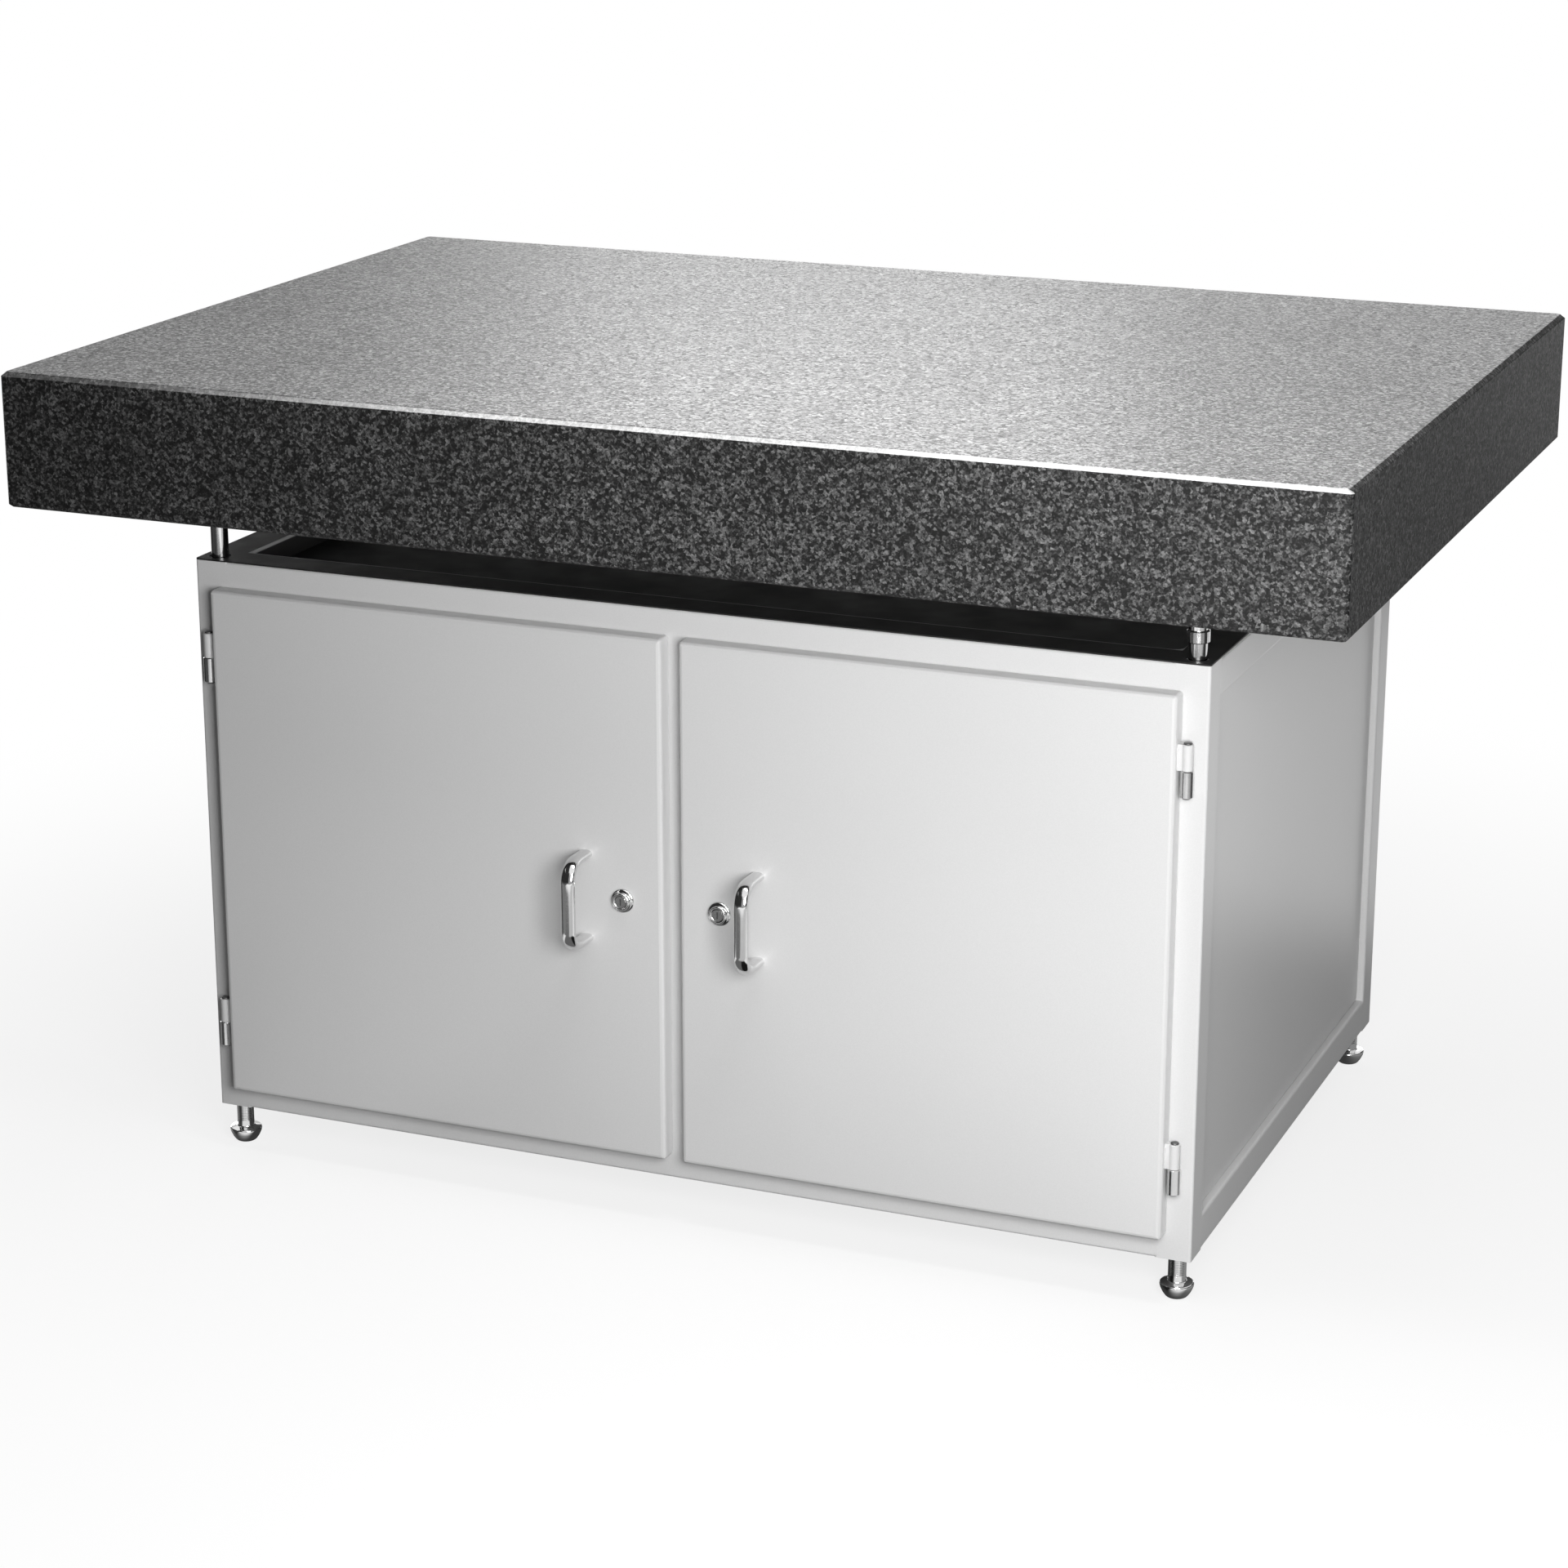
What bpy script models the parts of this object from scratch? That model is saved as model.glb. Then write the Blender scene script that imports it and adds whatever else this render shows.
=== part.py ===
"""Granite surface plate on a steel cabinet with two locking doors.

Metres, +Z up. The origin is on the floor under the middle of the plate, and the doors face -Y.
The cabinet is a welded frame of square tube with sheet panels set into it. It stands on four
screw feet, and four jack screws in the corner posts carry the plate and level it.
"""

import math

import bmesh
import bpy
from mathutils import Matrix, Vector

# Clearances
SEAT_GAP = 0.0003
RUN_CLEARANCE = 0.0003
CUT_OVERRUN = 0.004

# Granite plate
PLATE_WIDTH = 1.500
PLATE_DEPTH = 1.000
PLATE_THICKNESS = 0.150
PLATE_TOP_CHAMFER = 0.005
PLATE_EDGE_CHAMFER = 0.003

# Cabinet, set back under the plate all round
END_OVERHANG = 0.165
FRONT_OVERHANG = 0.115
CABINET_WIDTH = PLATE_WIDTH - 2 * END_OVERHANG
CABINET_DEPTH = PLATE_DEPTH - 2 * FRONT_OVERHANG
CABINET_HEIGHT = 0.650
FOOT_HEIGHT = 0.050
JACK_HEIGHT = 0.070

# Square tube of the frame, with a drilled plate welded into each end of a post
TUBE_SIZE = 0.040
TUBE_WALL = 0.002
TUBE_ROUND = 0.003
TUBE_INNER_ROUND = 0.001
END_PLATE = 0.012

# Folded sheet
SHEET = 0.0015
FOLD_ROUND = 0.003
FINE_ROUND = 0.0002
PANEL_RECESS = 0.008
PANEL_FLANGE = 0.015

# Black tray that closes the top of the cabinet
TRAY_CLEARANCE = 0.002
TRAY_DEPTH = 0.025
TRAY_CORNER = 0.010

# Floor and shelf
FLOOR_LAP = 0.015
SHELF_HEIGHT = 0.320
SHELF_FLANGE = 0.025
SHELF_LIP = 0.012
SHELF_SIDE_CLEARANCE = 0.003
SHELF_END_CLEARANCE = 0.010
LEDGE_LEG = 0.020
LEDGE_THICKNESS = 0.002

# Doors, folded pans that lie over the frame
DOOR_REVEAL = 0.028
DOOR_MIDDLE_GAP = 0.020
DOOR_THICKNESS = 0.020
DOOR_STANDOFF = 0.001
DOOR_EDGE_ROUND = 0.005
DOOR_CORNER_ROUND = 0.004
DOOR_LIP = 0.018

# Two-knuckle lift-off hinges
HINGE_LENGTH = 0.056
HINGE_INSET = 0.080
HINGE_FRAME_RADIUS = 0.0070
HINGE_DOOR_RADIUS = 0.0060
HINGE_SIDE_CLEARANCE = 0.0025
HINGE_BACK_CLEARANCE = 0.003
HINGE_TAB_WIDTH = 0.008
HINGE_PIN_RADIUS = 0.003
HINGE_PIN_HEAD_RADIUS = 0.0045
HINGE_PIN_HEAD = 0.002

# Bow handles
HANDLE_SPACING = 0.096
HANDLE_REACH = 0.045
HANDLE_WIDTH = 0.016
HANDLE_THICKNESS = 0.010
HANDLE_BEND = 0.021
HANDLE_EDGE = 0.091

# Cam locks and their strikes on the mullion
LOCK_EDGE = 0.047
LOCK_FLANGE_RADIUS = 0.0135
LOCK_FLANGE = 0.003
LOCK_COLLAR_RADIUS = 0.0100
LOCK_COLLAR = 0.004
LOCK_BODY_RADIUS = 0.0095
LOCK_PLUG_RADIUS = 0.0065
LOCK_TAIL_RADIUS = 0.0040
LOCK_TAIL_END = 0.003
LOCK_NUT_RADIUS = 0.0140
LOCK_NUT = 0.005
KEY_SLOT_WIDTH = 0.0018
KEY_SLOT_HEIGHT = 0.0080
KEY_SLOT_DEPTH = 0.003
CAM_WIDTH = 0.016
CAM_THICKNESS = 0.0025
CAM_CLEARANCE = 0.0015
CAM_TIP_CLEARANCE = 0.004
STRIKE_SETBACK = 0.004
STRIKE_LEG = 0.016
STRIKE_BASE = 0.022
STRIKE_HEIGHT = 0.040
STRIKE_THICKNESS = 0.002

# Screw feet
FOOT_STEM_RADIUS = 0.0098
FOOT_PAD_RADIUS = 0.0185
FOOT_PAD_HEIGHT = 0.019
FOOT_STEM_IN_POST = 0.055

# Jack screws and their collars
JACK_ROD_RADIUS = 0.0098
JACK_HEAD_RADIUS = 0.0160
JACK_HEAD = 0.011
JACK_ROD_IN_POST = 0.055
ROD_CHAMFER = 0.0015
COLLAR_RADIUS = 0.0120
COLLAR_HEIGHT = 0.013
COLLAR_CHAMFER = 0.001
LOW_COLLAR_HEIGHT = 0.019

# Faces round a corner, a fold, a turned piece and a handle's bar and bend
CORNER_STEPS = 4
FOLD_STEPS = 3
RING_STEPS = 4 * (CORNER_STEPS + 1)
PIN_STEPS = 12
HEX_STEPS = 6
SECTION_STEPS = 16
BEND_STEPS = 7
SMOOTH_ANGLE = math.radians(35)

# Outline of a foot's pad from the floor up: shares of its radius and height
PAD_SHARES = ((0.43, 0.0), (0.62, 0.08), (0.81, 0.31), (0.96, 0.62), (1.0, 0.80), (0.97, 0.90), (0.66, 0.97))

# Outline of a jack's head from the rod up: shares of its radius and height
HEAD_SHARES = ((0.88, 0.0), (1.0, 0.15), (1.0, 0.85), (0.94, 1.0))

# Straight part of the edge of a lock's flange, as a share of its thickness
LOCK_RIM_SHARE = 0.35

# Levels and faces that the sizes above give
FRAME_BOTTOM = FOOT_HEIGHT
FRAME_TOP = FRAME_BOTTOM + CABINET_HEIGHT
FRAME_MIDDLE = FRAME_BOTTOM + CABINET_HEIGHT / 2
PLATE_BOTTOM = FRAME_TOP + JACK_HEIGHT
FRONT = -CABINET_DEPTH / 2
POST_X = (CABINET_WIDTH - TUBE_SIZE) / 2
POST_Y = (CABINET_DEPTH - TUBE_SIZE) / 2
OPENING_WIDTH = CABINET_WIDTH - 2 * TUBE_SIZE
OPENING_DEPTH = CABINET_DEPTH - 2 * TUBE_SIZE
OPENING_HEIGHT = CABINET_HEIGHT - 2 * TUBE_SIZE
DOOR_WIDTH = (CABINET_WIDTH - DOOR_MIDDLE_GAP) / 2 - DOOR_REVEAL
DOOR_HEIGHT = CABINET_HEIGHT - 2 * DOOR_REVEAL
DOOR_BACK = FRONT - DOOR_STANDOFF
DOOR_FACE = DOOR_BACK - DOOR_THICKNESS
HINGE_X = CABINET_WIDTH / 2 - DOOR_REVEAL + HINGE_SIDE_CLEARANCE + HINGE_FRAME_RADIUS
HINGE_Y = FRONT - HINGE_BACK_CLEARANCE - HINGE_FRAME_RADIUS
LOCK_X = DOOR_MIDDLE_GAP / 2 + LOCK_EDGE
HANDLE_X = DOOR_MIDDLE_GAP / 2 + HANDLE_EDGE
STRIKE_BACK = FRONT + STRIKE_SETBACK + STRIKE_THICKNESS
CAM_FRONT = STRIKE_BACK + CAM_CLEARANCE

# Colour, roughness and metallic value of each finish
FINISHES = {
    "granite": ((0.16, 0.16, 0.165), 0.45, 0.0),
    "enamel": ((0.62, 0.63, 0.63), 0.35, 0.0),
    "black": ((0.02, 0.02, 0.02), 0.45, 0.0),
    "chrome": ((0.75, 0.75, 0.76), 0.12, 1.0),
    "zinc": ((0.55, 0.55, 0.56), 0.35, 1.0),
}

SIDES = (("left", -1), ("right", 1))
ENDS = (("front", -1), ("back", 1))

# Turns a piece drawn face up so that its face looks to the front, and on round the cabinet
UPRIGHT = Matrix.Rotation(math.pi / 2, 4, "X")


def clear_scene():
    for old in list(bpy.data.objects):
        bpy.data.objects.remove(old, do_unlink=True)


def finish_material(name, finish):
    colour, roughness, metallic = FINISHES[finish]
    material = bpy.data.materials.new(name)
    material.use_nodes = True
    shader = material.node_tree.nodes["Principled BSDF"]
    shader.inputs["Base Color"].default_value = (*colour, 1.0)
    shader.inputs["Roughness"].default_value = roughness
    shader.inputs["Metallic"].default_value = metallic
    return material


def circle(radius, steps=RING_STEPS):
    """Points round a circle, half a step on, so that they pair with a rounded rectangle's."""
    turns = [(step + 0.5) / steps * math.tau for step in range(steps)]
    return [(radius * math.cos(turn), radius * math.sin(turn)) for turn in turns]


def rounded_rectangle(width, depth, radius):
    """Points round a rectangle with round corners, anticlockwise from +X."""
    points = []
    for quarter, (side_x, side_y) in enumerate(((1, 1), (-1, 1), (-1, -1), (1, -1))):
        centre_x = side_x * (width / 2 - radius)
        centre_y = side_y * (depth / 2 - radius)
        for step in range(CORNER_STEPS + 1):
            turn = (quarter + step / CORNER_STEPS) * math.pi / 2
            points.append((centre_x + radius * math.cos(turn), centre_y + radius * math.sin(turn)))
    return points


def inset_rectangle(width, depth, corner, inset):
    """A rounded rectangle drawn in by an inset. Its corners tighten as it shrinks."""
    radius = max(corner - inset, FINE_ROUND)
    return rounded_rectangle(width - 2 * inset, depth - 2 * inset, radius)


def chamfered_rectangle(width, depth, cut):
    """Points round a rectangle with its corners cut off, anticlockwise from +X."""
    points = []
    for side_x, side_y in ((1, 1), (-1, 1), (-1, -1), (1, -1)):
        corner = [
            (side_x * width / 2, side_y * (depth / 2 - cut)),
            (side_x * (width / 2 - cut), side_y * depth / 2),
        ]
        points += corner if side_x == side_y else corner[::-1]
    return points


def keyhole(radius, tab_width, reach, turn):
    """A circle with a straight tab that runs out to reach in the direction turn."""
    half = tab_width / 2
    start = math.asin(half / radius)
    points = [(reach, -half), (reach, half)]
    for step in range(RING_STEPS + 1):
        angle = start + step / RING_STEPS * (math.tau - 2 * start)
        points.append((radius * math.cos(angle), radius * math.sin(angle)))
    along, across = math.cos(turn), math.sin(turn)
    return [(x * along - y * across, x * across + y * along) for x, y in points]


def lift(outline, height):
    return [Vector((x, y, height)) for x, y in outline]


def add_loop(mesh, points):
    return [mesh.verts.new(point) for point in points]


def join_loops(mesh, lower, upper):
    """A band of faces between two loops of as many points."""
    for index in range(len(lower)):
        after = (index + 1) % len(lower)
        mesh.faces.new((lower[index], lower[after], upper[after], upper[index]))


def fill_flat(mesh, loops):
    """Fills the flat face inside the first loop, with the other loops as its holes."""
    edges = []
    for loop in loops:
        for index, point in enumerate(loop):
            ends = (loop[index - 1], point)
            edges.append(mesh.edges.get(ends) or mesh.edges.new(ends))
    bmesh.ops.triangle_fill(mesh, edges=edges, use_beauty=True)


def stack(rings, closed=False):
    """A solid whose skin joins ring to ring. It is capped at both ends, or closed on itself."""
    mesh = bmesh.new()
    loops = [add_loop(mesh, ring) for ring in rings]
    for lower, upper in zip(loops, loops[1:]):
        join_loops(mesh, lower, upper)
    if closed:
        join_loops(mesh, loops[-1], loops[0])
    if not closed:
        mesh.faces.new(loops[0])
        mesh.faces.new(loops[-1])
    bmesh.ops.recalc_face_normals(mesh, faces=mesh.faces)
    return mesh


def turned(profile, closed=False, steps=RING_STEPS):
    """A solid of revolution about Z from points of radius and height."""
    return stack([lift(circle(radius, steps), height) for radius, height in profile], closed)


def slab(outline, low, high):
    """A flat outline made solid between two heights."""
    return stack([lift(outline, low), lift(outline, high)])


def pierced(outline, holes, low, high):
    """A flat outline with holes through it, made solid between two heights."""
    mesh = bmesh.new()
    loops = (outline, *holes)
    lower = [add_loop(mesh, lift(loop, low)) for loop in loops]
    upper = [add_loop(mesh, lift(loop, high)) for loop in loops]
    for below, above in zip(lower, upper):
        join_loops(mesh, below, above)
    fill_flat(mesh, lower)
    fill_flat(mesh, upper)
    bmesh.ops.recalc_face_normals(mesh, faces=mesh.faces)
    return mesh


def folded_pan(width, height, depth, corner, edge, lip):
    """A folded sheet pan with its face up at height depth, its flanges down and a lip turned in."""
    turns = [step / FOLD_STEPS * math.pi / 2 for step in range(FOLD_STEPS + 1)]
    skins = []
    for bend in (edge, edge - SHEET):
        skins.append([(edge - bend * math.sin(turn), depth - edge + bend * math.cos(turn)) for turn in turns])
    outside, inside = skins[0], skins[1][::-1]
    if lip > SHEET:
        rim = [(0, 0), (lip, 0), (lip, SHEET), (SHEET, SHEET)]
    else:
        rim = [(0, 0), (SHEET, 0)]
    profile = outside + rim + inside
    return stack([lift(inset_rectangle(width, height, corner, inset), level) for inset, level in profile])


def add_object(name, mesh, finish, pivot=(0, 0, 0), parent=None):
    """Makes an object of a mesh drawn in the cabinet's own frame, with its origin at pivot."""
    pivot = Vector(pivot)
    bmesh.ops.translate(mesh, verts=mesh.verts, vec=-pivot)
    data = bpy.data.meshes.new(name)
    mesh.to_mesh(data)
    mesh.free()
    data.shade_smooth()
    data.set_sharp_from_angle(angle=SMOOTH_ANGLE)
    data.materials.append(finish_material(name, finish))
    piece = bpy.data.objects.new(name, data)
    bpy.context.scene.collection.objects.link(piece)
    hang(piece, pivot, parent)
    return piece


def hang(piece, place, parent):
    """Puts a piece at a place in the cabinet's own frame, under a parent that isn't turned."""
    above = parent
    offset = Vector(place)
    while above is not None:
        offset -= above.location
        above = above.parent
    piece.parent = parent
    piece.location = offset


def add_pivot(name, place, parent=None):
    pivot = bpy.data.objects.new(name, None)
    bpy.context.scene.collection.objects.link(pivot)
    hang(pivot, place, parent)
    return pivot


def moved(mesh, place, turn=None):
    """Turns a mesh about its own origin and moves it to its place."""
    matrix = Matrix.Translation(place)
    if turn is not None:
        matrix = matrix @ turn
    bmesh.ops.transform(mesh, matrix=matrix, verts=mesh.verts)
    return mesh


def cut_with(target, name, cutter_mesh, pivot, parent=None):
    """Cuts a mesh out of an object with a Boolean, and keeps the cutter as a wire guide."""
    cutter = add_object(name, cutter_mesh, "zinc", pivot, parent)
    cutter.hide_render = True
    cutter.display_type = "WIRE"
    modifier = target.modifiers.new(name, "BOOLEAN")
    modifier.operation = "DIFFERENCE"
    modifier.solver = "EXACT"
    modifier.object = cutter


def make_plate():
    chamfers = (
        (PLATE_EDGE_CHAMFER, 0),
        (0, PLATE_EDGE_CHAMFER),
        (0, PLATE_THICKNESS - PLATE_TOP_CHAMFER),
        (PLATE_TOP_CHAMFER, PLATE_THICKNESS),
    )
    rings = []
    for inset, level in chamfers:
        outline = chamfered_rectangle(PLATE_WIDTH - 2 * inset, PLATE_DEPTH - 2 * inset, PLATE_EDGE_CHAMFER)
        rings.append(lift(outline, level))
    place = Vector((0, 0, PLATE_BOTTOM))
    add_object("granite_plate", moved(stack(rings), place), "granite", place)


def tube_mesh(length):
    """Square tube along Z about its middle, open at both ends."""
    inner = TUBE_SIZE - 2 * TUBE_WALL
    outside = rounded_rectangle(TUBE_SIZE, TUBE_SIZE, TUBE_ROUND)
    inside = rounded_rectangle(inner, inner, TUBE_INNER_ROUND)
    return pierced(outside, [inside], -length / 2, length / 2)


def post_mesh():
    """A corner post from the frame's bottom to its top, with a drilled plate in each end."""
    inner = TUBE_SIZE - 2 * TUBE_WALL
    outside = rounded_rectangle(TUBE_SIZE, TUBE_SIZE, TUBE_ROUND)
    inside = rounded_rectangle(inner, inner, TUBE_INNER_ROUND)
    foot_bore = circle(FOOT_STEM_RADIUS + RUN_CLEARANCE)
    jack_bore = circle(JACK_ROD_RADIUS + RUN_CLEARANCE)
    rings = [
        lift(outside, FRAME_BOTTOM),
        lift(outside, FRAME_TOP),
        lift(jack_bore, FRAME_TOP),
        lift(jack_bore, FRAME_TOP - END_PLATE),
        lift(inside, FRAME_TOP - END_PLATE),
        lift(inside, FRAME_BOTTOM + END_PLATE),
        lift(foot_bore, FRAME_BOTTOM + END_PLATE),
        lift(foot_bore, FRAME_BOTTOM),
    ]
    return stack(rings, closed=True)


def make_frame():
    along_x = Matrix.Rotation(math.pi / 2, 4, "Y")
    along_y = Matrix.Rotation(math.pi / 2, 4, "X")
    levels = (("bottom", FRAME_BOTTOM + TUBE_SIZE / 2), ("top", FRAME_TOP - TUBE_SIZE / 2))
    for end, end_sign in ENDS:
        for side, side_sign in SIDES:
            place = (side_sign * POST_X, end_sign * POST_Y, 0)
            add_object(f"post_{end}_{side}", moved(post_mesh(), place), "enamel", place)
        for level, height in levels:
            place = (0, end_sign * POST_Y, height)
            mesh = moved(tube_mesh(OPENING_WIDTH - 2 * SEAT_GAP), place, along_x)
            add_object(f"rail_{level}_{end}", mesh, "enamel", place)
    for side, side_sign in SIDES:
        for level, height in levels:
            place = (side_sign * POST_X, 0, height)
            mesh = moved(tube_mesh(OPENING_DEPTH - 2 * SEAT_GAP), place, along_y)
            add_object(f"rail_{level}_{side}", mesh, "enamel", place)
    place = (0, -POST_Y, FRAME_MIDDLE)
    add_object("mullion", moved(tube_mesh(OPENING_HEIGHT - 2 * SEAT_GAP), place), "enamel", place)


def make_panels():
    """Side and back panels: folded pans let into the frame, their flanges turned inwards."""
    walls = (
        ("side_panel_left", -1, OPENING_DEPTH, (PANEL_RECESS - CABINET_WIDTH / 2, 0)),
        ("side_panel_right", 1, OPENING_DEPTH, (CABINET_WIDTH / 2 - PANEL_RECESS, 0)),
        ("back_panel", 2, OPENING_WIDTH, (0, CABINET_DEPTH / 2 - PANEL_RECESS)),
    )
    for name, quarters, width, (x, y) in walls:
        size = (width - 2 * SEAT_GAP, OPENING_HEIGHT - 2 * SEAT_GAP)
        mesh = folded_pan(*size, PANEL_FLANGE, FOLD_ROUND, FOLD_ROUND, 0)
        moved(mesh, (0, 0, -PANEL_FLANGE))
        turn = Matrix.Rotation(quarters * math.pi / 2, 4, "Z") @ UPRIGHT
        place = (x, y, FRAME_MIDDLE)
        add_object(name, moved(mesh, place, turn), "enamel", place)


def make_tray():
    """The black top sheet: a rim on the frame with the middle pressed down between the rails."""
    border = TUBE_SIZE + TRAY_CLEARANCE
    rim = rounded_rectangle(CABINET_WIDTH, CABINET_DEPTH, TUBE_ROUND)
    wells = []
    for inset, corner in ((border + SHEET, TRAY_CORNER), (border, TRAY_CORNER + SHEET)):
        wells.append(rounded_rectangle(CABINET_WIDTH - 2 * inset, CABINET_DEPTH - 2 * inset, corner))
    holes = []
    for side_x, side_y in ((1, 1), (-1, 1), (-1, -1), (1, -1)):
        bore = circle(JACK_ROD_RADIUS + TRAY_CLEARANCE)
        holes.append([(side_x * POST_X + x, side_y * POST_Y + y) for x, y in bore])

    mesh = bmesh.new()
    top = [add_loop(mesh, lift(outline, SHEET)) for outline in (rim, *holes, wells[0])]
    under = [add_loop(mesh, lift(outline, 0)) for outline in (rim, *holes, wells[1])]
    for upper, lower in zip(top[:-1], under[:-1]):
        join_loops(mesh, upper, lower)
    for well, loops, level in zip(wells, (top, under), (SHEET - TRAY_DEPTH, -TRAY_DEPTH)):
        fill_flat(mesh, loops)
        floor = add_loop(mesh, lift(well, level))
        join_loops(mesh, loops[-1], floor)
        mesh.faces.new(floor)
    bmesh.ops.recalc_face_normals(mesh, faces=mesh.faces)
    place = Vector((0, 0, FRAME_TOP + SEAT_GAP))
    add_object("top_tray", moved(mesh, place), "black", place)


def make_floor():
    """The floor sheet lies on the bottom rails, notched round the posts and the mullion."""
    inner_x, outer_x = OPENING_WIDTH / 2 - SEAT_GAP, OPENING_WIDTH / 2 + FLOOR_LAP
    inner_y, outer_y = OPENING_DEPTH / 2 - SEAT_GAP, OPENING_DEPTH / 2 + FLOOR_LAP
    notch = TUBE_SIZE / 2 + SEAT_GAP
    back = [(outer_x, inner_y), (inner_x, inner_y), (inner_x, outer_y)]
    front = back + [(notch, outer_y), (notch, inner_y)]
    outline = back + [(-x, y) for x, y in reversed(back)]
    outline += [(-x, -y) for x, y in front] + [(x, -y) for x, y in reversed(front)]
    place = (0, 0, FRAME_BOTTOM + TUBE_SIZE + SEAT_GAP)
    add_object("floor_panel", moved(slab(outline, 0, SHEET), place), "enamel", place)


def make_shelf():
    """A folded shelf on two angle ledges that run from front post to back post."""
    width = OPENING_WIDTH - 2 * SHELF_SIDE_CLEARANCE
    depth = OPENING_DEPTH - 2 * SHELF_END_CLEARANCE
    ledge_top = FRAME_BOTTOM + SHELF_HEIGHT
    mesh = folded_pan(width, depth, SHELF_FLANGE, FOLD_ROUND, FOLD_ROUND, SHELF_LIP)
    place = (0, 0, ledge_top + SEAT_GAP)
    add_object("shelf", moved(mesh, place), "enamel", place)
    for side, side_sign in SIDES:
        corner = (side_sign * (OPENING_WIDTH / 2 - SEAT_GAP), 0, ledge_top)
        leg = LEDGE_LEG
        wall = LEDGE_THICKNESS
        outline = [(0, 0), (leg, 0), (leg, -wall), (wall, -wall), (wall, -leg), (0, -leg)]
        length = CABINET_DEPTH - 2 * (PANEL_RECESS + PANEL_FLANGE + SEAT_GAP)
        mesh = slab([(-side_sign * x, y) for x, y in outline], -length / 2, length / 2)
        add_object(f"shelf_ledge_{side}", moved(mesh, corner, UPRIGHT), "enamel", corner)


def knuckle_mesh(radius, low, high, reach, turn):
    """Half of a hinge's barrel, bored for the pin, with a tab to weld it on by."""
    bore = circle(HINGE_PIN_RADIUS + RUN_CLEARANCE, PIN_STEPS)
    return pierced(keyhole(radius, HINGE_TAB_WIDTH, reach, turn), [bore], low, high)


def make_hinge(side, side_sign, level, height, door_pivot):
    """The lower knuckle is on the frame's face and carries the pin. The upper is on the door's edge."""
    axis = (side_sign * HINGE_X, HINGE_Y, height)
    half = HINGE_LENGTH / 2
    name = f"hinge_{side}_{level}"
    to_frame = FRONT - HINGE_Y - SEAT_GAP
    to_door = HINGE_FRAME_RADIUS + HINGE_SIDE_CLEARANCE - SEAT_GAP
    door_turn = math.pi if side_sign > 0 else 0
    lower = knuckle_mesh(HINGE_FRAME_RADIUS, -half, -SEAT_GAP / 2, to_frame, math.pi / 2)
    upper = knuckle_mesh(HINGE_DOOR_RADIUS, SEAT_GAP / 2, half, to_door, door_turn)
    add_object(f"{name}_frame_knuckle", moved(lower, axis), "zinc", axis)
    add_object(f"{name}_door_knuckle", moved(upper, axis), "enamel", axis, door_pivot)
    head = half + SEAT_GAP
    pin = turned((
        (HINGE_PIN_HEAD_RADIUS, -head - HINGE_PIN_HEAD), (HINGE_PIN_HEAD_RADIUS, -head),
        (HINGE_PIN_RADIUS, -head), (HINGE_PIN_RADIUS, head),
        (HINGE_PIN_HEAD_RADIUS, head), (HINGE_PIN_HEAD_RADIUS, head + HINGE_PIN_HEAD),
    ), steps=PIN_STEPS)
    add_object(f"{name}_pin", moved(pin, axis), "zinc", axis)


def handle_mesh():
    """An oval bar bent into a bow. Its feet are at height 0, and the grip runs along Y."""
    half = HANDLE_SPACING / 2
    straight = HANDLE_REACH - HANDLE_BEND
    stations = [(half, 0, 0)]
    for step in range(BEND_STEPS + 1):
        turn = step / BEND_STEPS * math.pi / 2
        along = half - HANDLE_BEND + HANDLE_BEND * math.cos(turn)
        stations.append((along, straight + HANDLE_BEND * math.sin(turn), turn))
    stations += [(-along, height, math.pi - turn) for along, height, turn in reversed(stations)]
    rings = []
    for along, height, turn in stations:
        ring = []
        for step in range(SECTION_STEPS):
            angle = step / SECTION_STEPS * math.tau
            across = HANDLE_WIDTH / 2 * math.cos(angle)
            out = HANDLE_THICKNESS / 2 * math.sin(angle)
            ring.append(Vector((across, along + out * math.cos(turn), height + out * math.sin(turn))))
        rings.append(ring)
    return stack(rings)


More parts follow.
